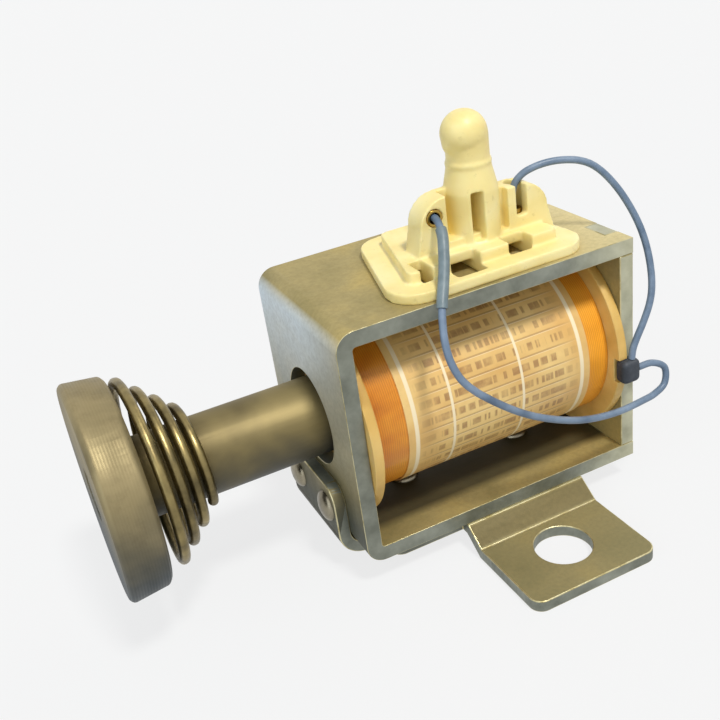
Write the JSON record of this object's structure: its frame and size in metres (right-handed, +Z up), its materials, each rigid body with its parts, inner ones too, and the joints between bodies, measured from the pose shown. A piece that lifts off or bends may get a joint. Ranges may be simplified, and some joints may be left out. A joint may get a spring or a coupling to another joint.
{
  "type": "push pull solenoid",
  "caption": "Open-frame push pull solenoid: plunger with disc head and tapering spring, taped coil, moulded terminal block, drilled foot lugs.",
  "frame": {"origin": "midway between the two foot holes, on the underside of the feet", "axes": "+X along the plunger, from its head towards the frame; +Z up, away from the feet; -Y towards the front lug"},
  "size_m": [0.0898, 0.0672, 0.066],
  "materials": {
    "plated_steel": "satin yellow-passivated zinc",
    "rivet_steel": "satin",
    "nylon": "semi-matt moulded",
    "copper": "enamelled wire",
    "tape": "glossy film",
    "label_paper": "printed paper",
    "brass": "satin",
    "machined_steel": "turned",
    "head_steel": "turned, darkened",
    "fibre": "matt",
    "lead_insulation": "smooth",
    "spring_steel": "drawn wire"
  },
  "bodies": {
    "housing": {"frame_channel": "plated_steel", "end_plate": "plated_steel", "mounting_bracket": "plated_steel", "saddle_rivets": "rivet_steel", "ear_rivets": "rivet_steel", "bobbin": "nylon", "winding": "copper", "winding_tape": "tape", "coil_label": "label_paper", "guide_tube": "brass", "core_stop": "machined_steel", "terminal_block": "nylon", "terminal_left": "brass", "terminal_right": "brass", "lead_anchor": "fibre", "lead_wire_left": "lead_insulation", "lead_wire_right": "lead_insulation"},
    "spring": {"return_spring": "spring_steel"},
    "plunger": {"plunger_rod": "machined_steel", "plunger_head": "head_steel"}
  },
  "joints": [
    {"name": "plunger_slide", "type": "slide", "parent": "housing", "child": "spring", "axis": [1, 0, 0], "range_m": [0, 0.022], "deforming": ["return_spring"]},
    {"name": "plunger_spin", "type": "hinge", "parent": "spring", "child": "plunger", "pos_m": [-0.03, 0, 0.0241], "axis": [1, 0, 0], "continuous": true}
  ]
}
